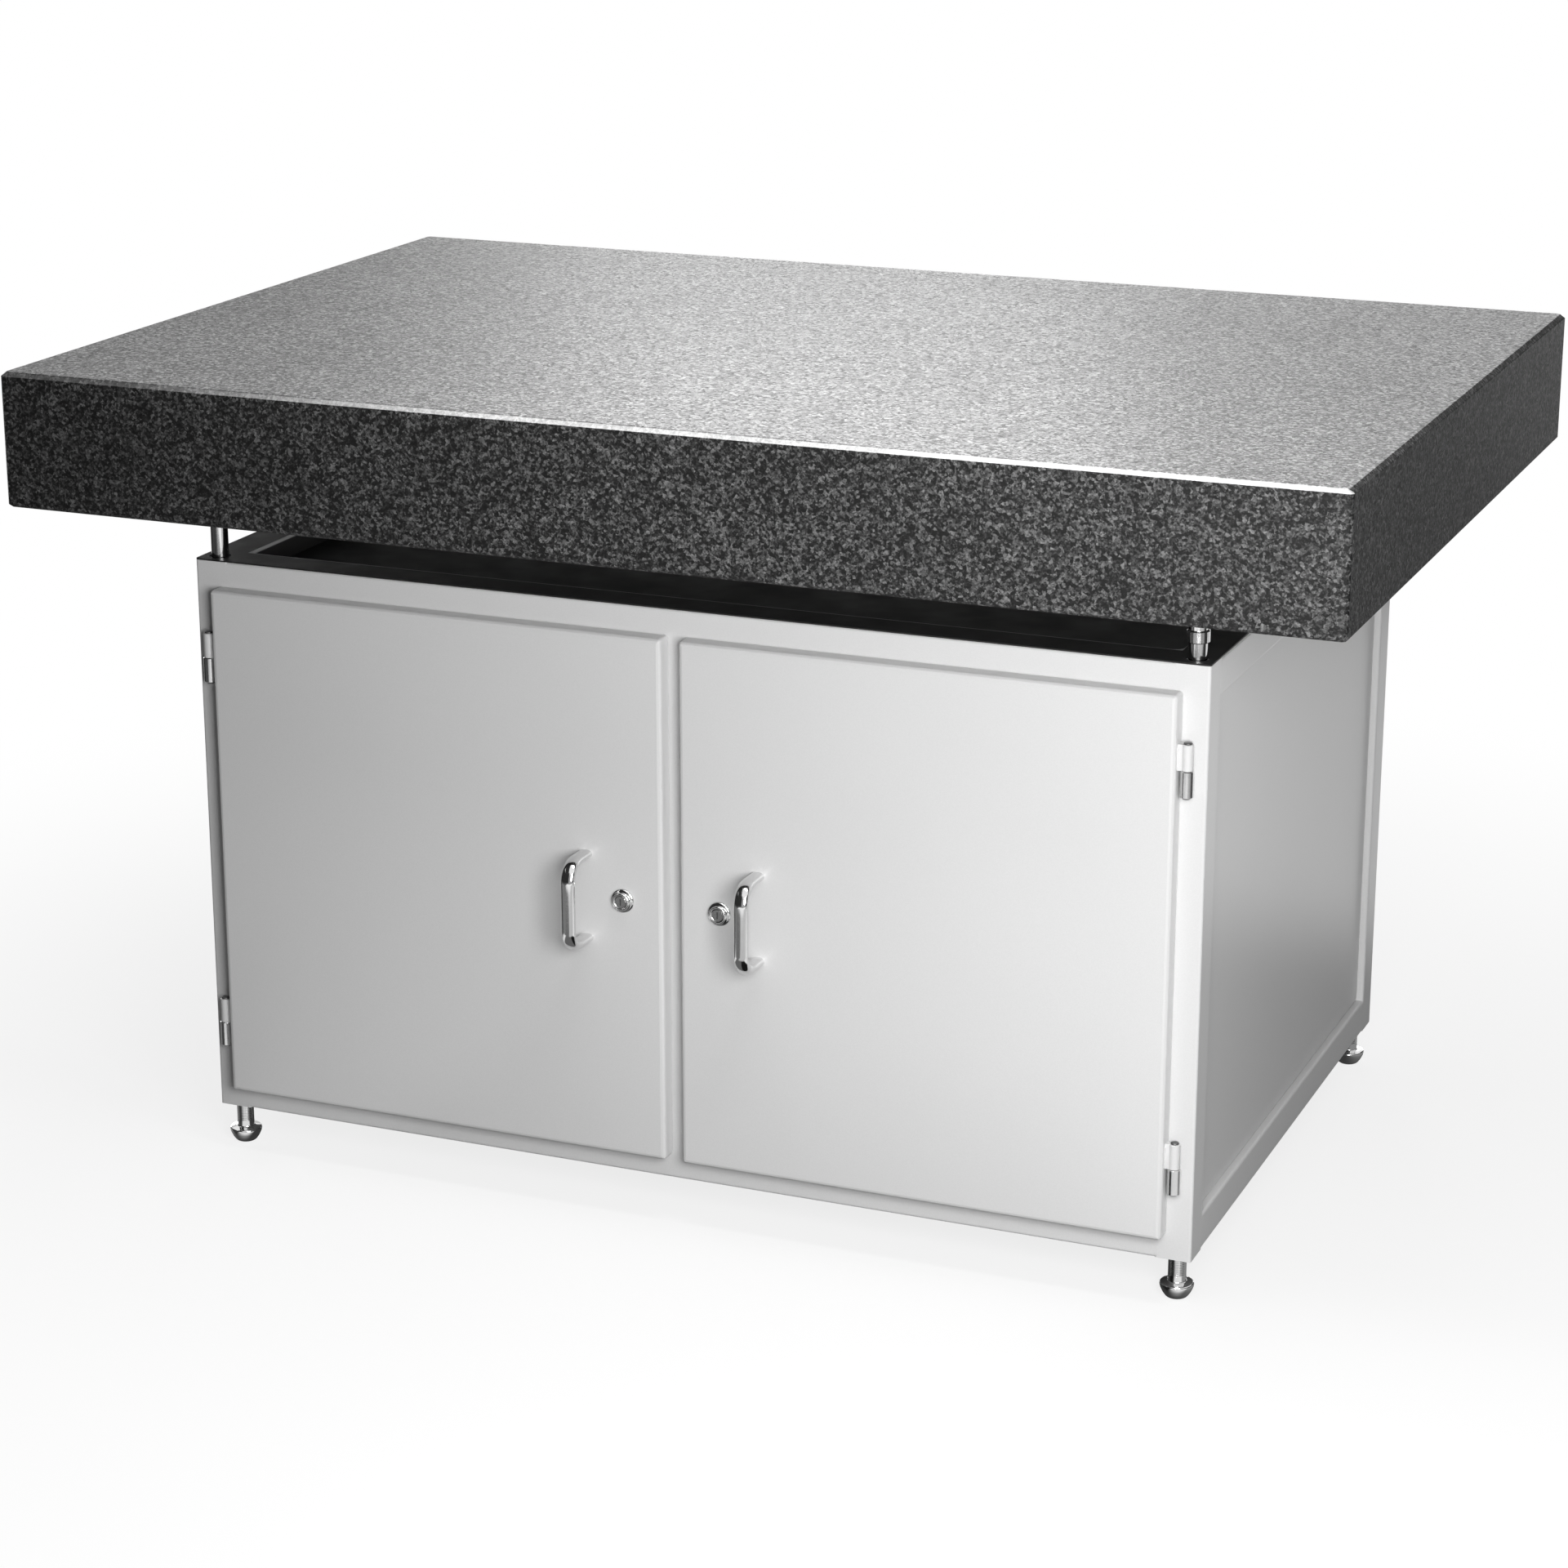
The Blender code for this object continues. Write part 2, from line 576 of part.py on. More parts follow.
def make_lock(side, side_sign, door, door_pivot):
    """A cam lock through the door. Its cam hangs down when unlocked and turns in behind the strike."""
    axis = Vector((side_sign * LOCK_X, DOOR_FACE, FRAME_MIDDLE))
    body_back = DOOR_FACE - CAM_FRONT + SEAT_GAP
    front = LOCK_FLANGE + LOCK_COLLAR
    bore = LOCK_PLUG_RADIUS + RUN_CLEARANCE
    housing = turned((
        (bore, body_back), (LOCK_BODY_RADIUS, body_back), (LOCK_BODY_RADIUS, SEAT_GAP),
        (LOCK_FLANGE_RADIUS, SEAT_GAP), (LOCK_FLANGE_RADIUS, LOCK_FLANGE * LOCK_RIM_SHARE),
        ((LOCK_FLANGE_RADIUS + LOCK_COLLAR_RADIUS) / 2, LOCK_FLANGE),
        (LOCK_COLLAR_RADIUS, LOCK_FLANGE), ((LOCK_COLLAR_RADIUS + LOCK_BODY_RADIUS) / 2, front),
        (bore, front),
    ), closed=True)
    add_object(f"lock_{side}_housing", moved(housing, axis, UPRIGHT), "chrome", axis, door_pivot)
    hole = slab(circle(LOCK_BODY_RADIUS + RUN_CLEARANCE), -SHEET - CUT_OVERRUN, CUT_OVERRUN)
    cut_with(door, f"lock_{side}_hole", moved(hole, axis, UPRIGHT), axis, door_pivot)
    hexagon = circle(LOCK_NUT_RADIUS, HEX_STEPS)
    nut_top = -SHEET - SEAT_GAP
    nut = pierced(hexagon, [circle(LOCK_BODY_RADIUS + RUN_CLEARANCE)], nut_top - LOCK_NUT, nut_top)
    add_object(f"lock_{side}_nut", moved(nut, axis, UPRIGHT), "zinc", axis, door_pivot)

    lock_pivot = add_pivot(f"lock_{side}_axis", axis, door_pivot)
    cam_back = body_back - SEAT_GAP - CAM_THICKNESS
    plug = turned((
        (LOCK_TAIL_RADIUS, cam_back - LOCK_TAIL_END), (LOCK_TAIL_RADIUS, body_back),
        (LOCK_PLUG_RADIUS, body_back), (LOCK_PLUG_RADIUS, front),
    ))
    plug = add_object(f"lock_{side}_plug", moved(plug, axis, UPRIGHT), "chrome", axis, lock_pivot)
    slot = slab(rounded_rectangle(KEY_SLOT_WIDTH, KEY_SLOT_HEIGHT, FINE_ROUND), front - KEY_SLOT_DEPTH,
                front + CUT_OVERRUN)
    cut_with(plug, f"lock_{side}_key_slot", moved(slot, axis, UPRIGHT), axis, lock_pivot)

    reach = LOCK_X - TUBE_SIZE / 2 - STRIKE_THICKNESS - CAM_TIP_CLEARANCE
    outline = keyhole(CAM_WIDTH / 2, CAM_WIDTH, reach, -math.pi / 2)
    eye = circle(LOCK_TAIL_RADIUS + RUN_CLEARANCE)
    cam = pierced(outline, [eye], cam_back, cam_back + CAM_THICKNESS)
    add_object(f"lock_{side}_cam", moved(cam, axis, UPRIGHT), "zinc", axis, lock_pivot)

    edge = side_sign * (TUBE_SIZE / 2 + SEAT_GAP)
    place = (edge, FRONT + STRIKE_SETBACK, FRAME_MIDDLE)
    leg, wall, base = STRIKE_LEG, STRIKE_THICKNESS, STRIKE_BASE
    outline = [(0, 0), (leg, 0), (leg, wall), (wall, wall), (wall, base), (0, base)]
    strike = slab([(side_sign * x, y) for x, y in outline], -STRIKE_HEIGHT / 2, STRIKE_HEIGHT / 2)
    add_object(f"lock_{side}_strike", moved(strike, place), "zinc", place)


def make_door(side, side_sign):
    pivot = add_pivot(f"door_{side}_hinge_axis", (side_sign * HINGE_X, HINGE_Y, FRAME_MIDDLE))
    centre = Vector((side_sign * (DOOR_MIDDLE_GAP + DOOR_WIDTH) / 2, DOOR_BACK, FRAME_MIDDLE))
    pan = folded_pan(DOOR_WIDTH, DOOR_HEIGHT, DOOR_THICKNESS, DOOR_CORNER_ROUND, DOOR_EDGE_ROUND, DOOR_LIP)
    door = add_object(f"door_{side}", moved(pan, centre, UPRIGHT), "enamel", pivot.location, pivot)
    grip = (side_sign * HANDLE_X, DOOR_FACE - SEAT_GAP, FRAME_MIDDLE)
    add_object(f"handle_{side}", moved(handle_mesh(), grip, UPRIGHT), "chrome", grip, pivot)
    make_lock(side, side_sign, door, pivot)
    offset = DOOR_HEIGHT / 2 - HINGE_INSET
    make_hinge(side, side_sign, "lower", FRAME_MIDDLE - offset, pivot)
    make_hinge(side, side_sign, "upper", FRAME_MIDDLE + offset, pivot)


def make_foot(name, place):
    """A levelling foot. Its stem screws up through the end plate of the post."""
    pad = [(radius * FOOT_PAD_RADIUS, height * FOOT_PAD_HEIGHT) for radius, height in PAD_SHARES]
    stem_top = FRAME_BOTTOM + FOOT_STEM_IN_POST
    stem = [
        (FOOT_STEM_RADIUS, FOOT_PAD_HEIGHT), (FOOT_STEM_RADIUS, stem_top - ROD_CHAMFER),
        (FOOT_STEM_RADIUS - ROD_CHAMFER, stem_top),
    ]
    add_object(name, moved(turned(pad + stem), place), "chrome", place)


def make_jack(where, place, collar_bottom):
    """A jack screw under the plate, with the collar that runs on it."""
    rod_bottom = FRAME_TOP - JACK_ROD_IN_POST
    head_bottom = PLATE_BOTTOM - SEAT_GAP - JACK_HEAD
    rod = [
        (JACK_ROD_RADIUS - ROD_CHAMFER, rod_bottom), (JACK_ROD_RADIUS, rod_bottom + ROD_CHAMFER),
        (JACK_ROD_RADIUS, head_bottom),
    ]
    head = [(radius * JACK_HEAD_RADIUS, head_bottom + height * JACK_HEAD) for radius, height in HEAD_SHARES]
    add_object(f"jack_screw_{where}", moved(turned(rod + head), place), "chrome", place)
    bore = JACK_ROD_RADIUS + RUN_CLEARANCE
    shoulder = COLLAR_RADIUS - COLLAR_CHAMFER
    collar = turned((
        (bore, 0), (shoulder, 0), (COLLAR_RADIUS, COLLAR_CHAMFER),
        (COLLAR_RADIUS, COLLAR_HEIGHT - COLLAR_CHAMFER), (shoulder, COLLAR_HEIGHT), (bore, COLLAR_HEIGHT),
    ), closed=True)
    seat = Vector(place) + Vector((0, 0, collar_bottom))
    add_object(f"jack_collar_{where}", moved(collar, seat), "zinc", seat)


def make_feet_and_jacks():
    """The collar of the front right jack is run down its screw. The others are up under the head."""
    high = PLATE_BOTTOM - SEAT_GAP - JACK_HEAD - SEAT_GAP - COLLAR_HEIGHT
    low = FRAME_TOP + LOW_COLLAR_HEIGHT
    for end, end_sign in ENDS:
        for side, side_sign in SIDES:
            where = f"{end}_{side}"
            place = (side_sign * POST_X, end_sign * POST_Y, 0)
            make_foot(f"foot_{where}", place)
            make_jack(where, place, low if where == "front_right" else high)


def main():
    clear_scene()
    make_frame()
    make_panels()
    make_tray()
    make_floor()
    make_shelf()
    for side, side_sign in SIDES:
        make_door(side, side_sign)
    make_feet_and_jacks()
    make_plate()


main()
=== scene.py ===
"""Looks of the granite surface plate on its steel cabinet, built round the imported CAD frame."""

import math

import bmesh
import bpy
from mathutils import Matrix, Vector


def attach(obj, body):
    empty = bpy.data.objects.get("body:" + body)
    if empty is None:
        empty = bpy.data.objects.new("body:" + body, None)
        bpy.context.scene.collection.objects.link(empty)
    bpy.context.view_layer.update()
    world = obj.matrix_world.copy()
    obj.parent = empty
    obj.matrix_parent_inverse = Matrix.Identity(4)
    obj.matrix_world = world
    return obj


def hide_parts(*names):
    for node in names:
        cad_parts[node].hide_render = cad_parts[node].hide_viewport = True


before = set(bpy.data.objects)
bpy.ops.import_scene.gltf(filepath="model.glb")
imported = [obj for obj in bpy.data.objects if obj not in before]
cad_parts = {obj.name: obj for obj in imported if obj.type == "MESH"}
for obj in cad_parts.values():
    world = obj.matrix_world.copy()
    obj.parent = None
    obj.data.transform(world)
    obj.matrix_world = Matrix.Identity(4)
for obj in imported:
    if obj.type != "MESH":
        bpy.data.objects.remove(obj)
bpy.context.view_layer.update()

SIDES = (("left", -1), ("right", 1))
ENDS = (("front", -1), ("back", 1))

# Places that the CAD gives, in metres
PLATE_X, PLATE_Y, PLATE_TOP = 0.750, 0.500, 0.920
PLATE_CHAMFER = 0.005
TUBE = 0.040
TUBE_ROUND = 0.003
FRAME_X, FRAME_Y = 0.585, 0.385
FRAME_LOW, FRAME_HIGH = 0.050, 0.700
RECESS_X, RECESS_Y = 0.543, 0.343
DOOR_FACE_Y = -0.406
DOOR_SHEET = 0.0015
POST_X, POST_Y = 0.565, 0.365
MIDDLE = 0.375
HANDLE_X, LOCK_X = 0.101, 0.057
CAM_BACK_Y = -0.375
HINGE_X, HINGE_Y = 0.5665, -0.395
HINGE_LEVELS = (("lower", 0.158), ("upper", 0.592))

# Radii of the rod of feet and jack screws, and the sizes of its thread
ROD, ROD_TIP = 0.0098, 0.0083
THREAD_ROOT, THREAD_PITCH = 0.0095, 0.0020
JACK_HEAD_LOW = 0.7587
# Half the thickness of a hinge's tab, and the size of a weld bead
HINGE_TAB = 0.004
BEAD = 0.0014

# Turn a piece that is drawn face up so that its face looks to the front or to the back
TO_FRONT = Matrix.Rotation(math.pi / 2, 4, "X")
TO_BACK = Matrix.Rotation(-math.pi / 2, 4, "X")


# --- Materials -------------------------------------------------------------------------------


class Nodes:
    """A material's node tree, with short calls for the nodes that these finishes use."""

    def __init__(self, name):
        self.material = bpy.data.materials.new(name)
        self.material.use_nodes = True
        self.tree = self.material.node_tree
        self.shader = self.tree.nodes["Principled BSDF"]
        self.place = self.tree.nodes.new("ShaderNodeTexCoord").outputs["Object"]

    def link(self, source, target):
        self.tree.links.new(source, target)

    def set(self, **values):
        for name, value in values.items():
            self.shader.inputs[name.replace("_", " ")].default_value = value

    def scaled(self, scale):
        node = self.tree.nodes.new("ShaderNodeMapping")
        node.inputs["Scale"].default_value = scale
        self.link(self.place, node.inputs["Vector"])
        return node.outputs["Vector"]

    def noise(self, scale, detail=2.0, vector=None, output="Fac"):
        node = self.tree.nodes.new("ShaderNodeTexNoise")
        node.inputs["Scale"].default_value = scale
        node.inputs["Detail"].default_value = detail
        self.link(vector or self.place, node.inputs["Vector"])
        return node.outputs[output]

    def cells(self, scale, vector):
        node = self.tree.nodes.new("ShaderNodeTexVoronoi")
        node.inputs["Scale"].default_value = scale
        self.link(vector, node.inputs["Vector"])
        return node.outputs["Color"]

    def channel(self, colour, name):
        node = self.tree.nodes.new("ShaderNodeSeparateColor")
        self.link(colour, node.inputs["Color"])
        return node.outputs[name]

    def axes(self):
        node = self.tree.nodes.new("ShaderNodeSeparateXYZ")
        self.link(self.place, node.inputs["Vector"])
        return node.outputs["X"], node.outputs["Y"], node.outputs["Z"]

    def ramp(self, value, stops):
        """Stops are (position, grey)."""
        node = self.tree.nodes.new("ShaderNodeValToRGB")
        elements = node.color_ramp.elements
        while len(elements) < len(stops):
            elements.new(0.5)
        for element, (position, grey) in zip(elements, stops):
            element.position = position
            element.color = (grey, grey, grey, 1.0)
        self.link(value, node.inputs["Fac"])
        return node.outputs["Color"]

    def map(self, value, low, high, to_low=0.0, to_high=1.0):
        node = self.tree.nodes.new("ShaderNodeMapRange")
        node.inputs["From Min"].default_value = low
        node.inputs["From Max"].default_value = high
        node.inputs["To Min"].default_value = to_low
        node.inputs["To Max"].default_value = to_high
        self.link(value, node.inputs["Value"])
        return node.outputs["Result"]

    def math(self, operation, *values):
        node = self.tree.nodes.new("ShaderNodeMath")
        node.operation = operation
        for socket, value in zip(node.inputs, values):
            if isinstance(value, (int, float)):
                socket.default_value = value
            else:
                self.link(value, socket)
        return node.outputs["Value"]

    def mix(self, factor, first, second, blend="MIX"):
        """Mixes two colours, whose sockets on this node are 6 and 7, and its result 2."""
        node = self.tree.nodes.new("ShaderNodeMix")
        node.data_type = "RGBA"
        node.blend_type = blend
        for index, value in ((0, factor), (6, first), (7, second)):
            if not isinstance(value, (int, float)):
                self.link(value, node.inputs[index])
            elif index:
                node.inputs[index].default_value = (value, value, value, 1.0)
            else:
                node.inputs[index].default_value = value
        return node.outputs[2]

    def bump(self, height, distance, strength=1.0, under=None):
        node = self.tree.nodes.new("ShaderNodeBump")
        node.inputs["Distance"].default_value = distance
        node.inputs["Strength"].default_value = strength
        self.link(height, node.inputs["Height"])
        if under is not None:
            self.link(under, node.inputs["Normal"])
        return node.outputs["Normal"]


def granite_material():
    """Fine-grained black granite whose lapped top is paler, partly by its finish and partly as painted light.

    Its ground sides have painted shade that darkens them to the left, and its ends are painted darker and are
    duller.
    The front edge is polished and painted paler as a painted highlight, which fades out to the left.
    """
    n = Nodes("granite_speckled")
    shift = n.tree.nodes.new("ShaderNodeVectorMath")
    shift.operation = "MULTIPLY_ADD"
    shift.inputs[1].default_value = (0.0014, 0.0014, 0.0014)
    n.link(n.noise(500, 1, output="Color"), shift.inputs[0])
    n.link(n.place, shift.inputs[2])
    grain = shift.outputs["Vector"]

    crystals = n.cells(300, grain)
    flecks = n.cells(560, grain)
    blend = n.math("ADD", n.math("MULTIPLY", n.channel(crystals, "Red"), 0.6),
                   n.math("MULTIPLY", n.channel(flecks, "Red"), 0.4))
    ground = n.ramp(blend, [(0.00, 0.004), (0.34, 0.009), (0.48, 0.024), (0.62, 0.056), (0.76, 0.100),
                            (0.90, 0.160), (1.00, 0.21)])
    # The top's colour is paler partly by its lapped finish and partly as painted light
    lapped = n.ramp(blend, [(0.00, 0.030), (0.34, 0.060), (0.50, 0.120), (0.66, 0.220), (0.82, 0.360),
                            (1.00, 0.500)])
    # Painted highlight: the pale colour of the chamfer along the front edge
    polished = n.ramp(blend, [(0.2, 0.50), (0.8, 0.78)])

    # Where the surface is: the top, the chamfer along the front, or an end
    x, y, z = n.axes()
    side_top, chamfer_y = PLATE_TOP - PLATE_CHAMFER, PLATE_CHAMFER - PLATE_Y
    top = n.map(z, PLATE_TOP - 0.0004, PLATE_TOP - 0.0001)
    above_sides = n.map(z, side_top, side_top + 0.0003)
    front_edge = n.math("MULTIPLY", n.math("SUBTRACT", above_sides, top),
                        n.map(y, chamfer_y - 0.0012, chamfer_y, 1.0, 0.0))
    end = n.map(n.math("ABSOLUTE", x), PLATE_X - 0.0015, PLATE_X - 0.0005)
    polish_and_highlight_begins, polish_and_highlight_full = -0.60, -0.20

    # Painted shade on the ground sides and ends: darker to the left, and darker again at the ends
    shade = n.math("MULTIPLY", n.map(end, 0.0, 1.0, 1.0, 0.66), n.map(x, -0.75, 0.10, 0.68, 1.0))
    colour = n.mix(top, n.mix(1.0, ground, shade, "MULTIPLY"), lapped)
    # Painted highlight along the front chamfer, fading out to the left; the same span makes the chamfer
    # smoother
    paler = n.math("MULTIPLY", front_edge, n.map(x, polish_and_highlight_begins, polish_and_highlight_full, 0.10, 0.85))
    colour = n.mix(paler, colour, polished)
    colour = n.mix(1.0, colour, n.map(n.noise(5, 3), 0.3, 0.7, 0.92, 1.08), "MULTIPLY")
    n.link(colour, n.shader.inputs["Base Color"])
    n.link(n.map(end, 0.0, 1.0, 0.5, 0.26), n.shader.inputs["Specular IOR Level"])

    glint = n.channel(crystals, "Blue")
    rough = n.mix(top, n.map(glint, 0.0, 1.0, 0.50, 0.66), n.map(glint, 0.0, 1.0, 0.30, 0.56))
    smoother = n.math("MULTIPLY", front_edge, n.map(x, polish_and_highlight_begins, polish_and_highlight_full))
    n.link(n.mix(smoother, rough, n.map(glint, 0.0, 1.0, 0.24, 0.32)), n.shader.inputs["Roughness"])
    pits = n.bump(blend, 0.00025, 0.6)
    n.link(n.bump(n.noise(1500, 2), 0.00004, 0.5, pits), n.shader.inputs["Normal"])
    n.set(IOR=1.33)
    return n.material


def enamel_material():
    """Pale grey baked enamel with a slight orange peel."""
    n = Nodes("enamel_pale_grey")
    tone = n.ramp(n.noise(2.3, 4), [(0.15, 0.664), (0.85, 0.696)])
    speck = n.map(n.noise(900, 1), 0.35, 0.65, 0.985, 1.015)
    n.link(n.mix(1.0, tone, speck, "MULTIPLY"), n.shader.inputs["Base Color"])
    n.link(n.map(n.noise(5, 2), 0.1, 0.9, 0.278, 0.300), n.shader.inputs["Roughness"])
    peel = n.bump(n.noise(330, 1), 0.00006, 0.5)
    n.link(n.bump(n.noise(4, 1), 0.0006, 0.08, peel), n.shader.inputs["Normal"])
    n.set(IOR=1.5)
    return n.material


def black_material():
    """Black baked enamel of the top tray, with a painted highlight along the bend of its recess."""
    n = Nodes("enamel_black")
    tone = n.ramp(n.noise(6, 4), [(0.3, 0.013), (0.7, 0.021)])
    x, y, z = n.axes()
    inside = n.math("MULTIPLY", n.map(n.math("ABSOLUTE", x), RECESS_X - 0.001, RECESS_X, 1.0, 0.0),
                    n.map(n.math("ABSOLUTE", y), RECESS_Y - 0.001, RECESS_Y, 1.0, 0.0))
    # Painted highlight: the bend at the top of the recess is painted paler
    bend = n.math("MULTIPLY", n.map(z, FRAME_HIGH - 0.0025, FRAME_HIGH - 0.0010), inside)
    n.link(n.mix(bend, tone, 0.45), n.shader.inputs["Base Color"])
    n.link(n.map(n.noise(20, 4), 0.3, 0.7, 0.44, 0.58), n.shader.inputs["Roughness"])
    n.link(n.bump(n.noise(330, 1), 0.00006, 0.5), n.shader.inputs["Normal"])
    n.set(IOR=1.38)
    return n.material


def metal_material(name, tone, roughness, scratch, stretch, satin_above=None):
    """Bare or plated metal with fine lines, drawn out by stretch; satin above a height if one is given."""
    n = Nodes(name)
    lines = n.noise(900, 3, n.scaled(stretch))
    n.link(n.ramp(n.noise(60, 3), [(0.3, tone * 0.93), (0.7, tone)]), n.shader.inputs["Base Color"])
    rough = n.map(lines, 0.3, 0.7, roughness * 0.8, roughness * 1.3)
    if satin_above:
        height = n.axes()[2]
        rough = n.mix(n.map(height, satin_above - 0.0001, satin_above + 0.0001), rough, 0.42)
    n.link(rough, n.shader.inputs["Roughness"])
    n.link(n.bump(lines, 0.00002, scratch), n.shader.inputs["Normal"])
    n.set(Metallic=1.0)
    return n.material


GRANITE = granite_material()
ENAMEL = enamel_material()
BLACK = black_material()
CHROME = metal_material("chrome_bright", 0.78, 0.10, 0.15, (1, 1, 1))
CHROME_JACK = metal_material("chrome_satin_head", 0.78, 0.10, 0.15, (1, 1, 1), JACK_HEAD_LOW - 0.0001)
ZINC = metal_material("zinc_plate", 0.70, 0.20, 0.25, (1, 1, 0.08))
# Dark steel for the pins, and painted shade for the key ways
DARK_STEEL_AND_SHADE = metal_material("dark_steel_and_keyway_shade", 0.16, 0.38, 0.4, (1, 1, 0.1))


def finish_nodes():
    """Gives each carried-over CAD node its finish, by its name."""
    for name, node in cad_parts.items():
        if name == "granite_plate":
            material = GRANITE
        elif name == "top_tray":
            material = BLACK
        elif name.endswith("_pin"):
            material = DARK_STEEL_AND_SHADE
        elif name.startswith(("handle_", "foot_", "jack_screw_")) or name.endswith(("_housing", "_plug")):
            material = CHROME
        elif name.endswith(("_nut", "_cam", "_strike", "_frame_knuckle")) or name.startswith("jack_collar_"):
            material = ZINC
        else:
            material = ENAMEL
        node.data.materials.clear()
        node.data.materials.append(material)


# --- Outlines and solids ---------------------------------------------------------------------


def mesh_object(name, mesh, material):
    """Makes an object of a mesh, which is used up."""
    data = bpy.data.meshes.new(name)
    mesh.to_mesh(data)
    mesh.free()
    data.materials.append(material)
    made = bpy.data.objects.new(name, data)
    bpy.context.scene.collection.objects.link(made)
    return made


def add_piece(name, mesh, material, body, replaces=()):
    """Makes a mesh a piece of the object, which rides on a body."""
    bmesh.ops.recalc_face_normals(mesh, faces=mesh.faces)
    piece = mesh_object(name, mesh, material)
    piece.data.shade_smooth()
    piece.data.set_sharp_from_angle(angle=math.radians(40))
    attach(piece, body)
    if replaces:
        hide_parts(*replaces)


def angles(count):
    return [step / count * math.tau for step in range(count)]


def polar_ring(radius_at, height, places, turn=0.0):
    """Points whose radius depends on the angle, all turned by the same amount."""
    return [(radius_at(angle) * math.cos(angle + turn), radius_at(angle) * math.sin(angle + turn), height)
            for angle in places]


def circle(radius):
    """The radius of a circle at an angle, for polar_ring."""
    return lambda angle: radius


def hexagon(inner):
    """The radius of a hexagon at an angle, from its smallest radius, for polar_ring."""
    return lambda angle: inner / math.cos((angle + math.pi / 6) % (math.pi / 3) - math.pi / 6)


def ring(radius, height, count=48):
    return polar_ring(circle(radius), height, angles(count))


def rounded_square(size, radius, count=6):
    """The (x, y) points of a square whose corners are rounded in so many steps."""
    points = []
    for quarter, (side_x, side_y) in enumerate(((1, 1), (-1, 1), (-1, -1), (1, -1))):
        for step in range(count + 1):
            turn = (quarter + step / count) * math.pi / 2
            points.append((side_x * (size / 2 - radius) + radius * math.cos(turn),
                           side_y * (size / 2 - radius) + radius * math.sin(turn)))
    return points


def rounded_profile(points, radius, count=4):
    """Rounds the inner corners of a profile of (radius, height) points."""
    result = [points[0]]
    for before, corner, after in zip(points, points[1:], points[2:]):
        corner = Vector(corner)
        into, out = Vector(before) - corner, Vector(after) - corner
        cut = min(radius, into.length * 0.45, out.length * 0.45)
        start, end = corner + into.normalized() * cut, corner + out.normalized() * cut
        for step in range(count + 1):
            t = step / count
            result.append(tuple((1 - t) ** 2 * start + 2 * t * (1 - t) * corner + t ** 2 * end))
    result.append(points[-1])
    return result


def add_loops(mesh, rings, matrix):
    return [[mesh.verts.new(matrix @ Vector(point)) for point in points] for points in rings]


def join(mesh, lower, upper):
    """Adds the band of faces between two loops of as many points."""
    for index in range(len(lower)):
        after = (index + 1) % len(lower)
        mesh.faces.new((lower[index], lower[after], upper[after], upper[index]))


def stack(mesh, rings, matrix=Matrix()):
    """Adds a capped solid whose skin joins ring to ring."""
    loops = add_loops(mesh, rings, matrix)
    for lower, upper in zip(loops, loops[1:]):
        join(mesh, lower, upper)
    mesh.faces.new(loops[0])
    mesh.faces.new(loops[-1])


def hoop(mesh, rings, matrix):
    """Adds a solid with a bore: its skin joins ring to ring and the last ring to the first."""
    loops = add_loops(mesh, rings, matrix)
    for lower, upper in zip(loops, loops[1:] + loops[:1]):
        join(mesh, lower, upper)


def lathe(mesh, profile, matrix, count=64):
    """Adds a turned solid round Z from a profile of (radius, height) points."""
    stack(mesh, [ring(radius, height, count) for radius, height in profile], matrix)


def revolve(mesh, profile, matrix, count=64):
    """Adds a turned solid with a bore from a closed profile of (radius, height) points."""
    hoop(mesh, [ring(radius, height, count) for radius, height in profile], matrix)


def thread(mesh, low, high, matrix, columns=36):
    """Adds a threaded length of rod between two heights, run out into plain rod at both ends."""
    # Each point of a turn: its rise as a part of the pitch, and its radius
    profile = ((0.0, ROD), (0.12, ROD), (0.38, THREAD_ROOT), (0.62, THREAD_ROOT), (0.88, ROD))
    run_out = THREAD_PITCH * 0.8
    rows = (int(math.ceil((high - low) / THREAD_PITCH)) + 2) * len(profile)
    start = low - THREAD_PITCH
    grid = []
    for column in range(columns):
        angle = column / columns * math.tau
        line = []
        for row in range(rows):
            turn, part = divmod(row, len(profile))
            rise, radius = profile[part]
            height = start + THREAD_PITCH * (turn + rise + column / columns)
            blend = min(1.0, max(0.0, min(height - low, high - height) / run_out))
            radius = ROD + (radius - ROD) * blend
            height = min(high, max(low, height))
            point = Vector((radius * math.cos(angle), radius * math.sin(angle), height))
            line.append(mesh.verts.new(matrix @ point))
        grid.append(line)
    for column in range(columns):
        line, after = grid[column], grid[(column + 1) % columns]
        # The last column meets the first one a turn further up
        jump = len(profile) if column == columns - 1 else 0
        for row in range(rows - 1 - jump):
            mesh.faces.new((line[row], after[row + jump], after[row + 1 + jump], line[row + 1]))
    bmesh.ops.remove_doubles(mesh, verts=mesh.verts, dist=1e-7)


def screw(mesh, matrix):
    """Adds a washer and a domed screw head with a hexagonal socket."""
    washer = [(0.0020, 0.0), (0.0060, 0.0), (0.0060, 0.0008), (0.0057, 0.0011), (0.0020, 0.0011)]
    revolve(mesh, washer, matrix, 48)
    dome = [(0.0043, 0.0009), (0.0045, 0.0013), (0.0044, 0.0021), (0.0038, 0.0029), (0.0028, 0.0034)]
    socket = hexagon(0.00135)
    rings = [ring(radius, height) for radius, height in dome]
    rings += [polar_ring(socket, 0.0035, angles(48)), polar_ring(socket, 0.0020, angles(48))]
    stack(mesh, rings, matrix)


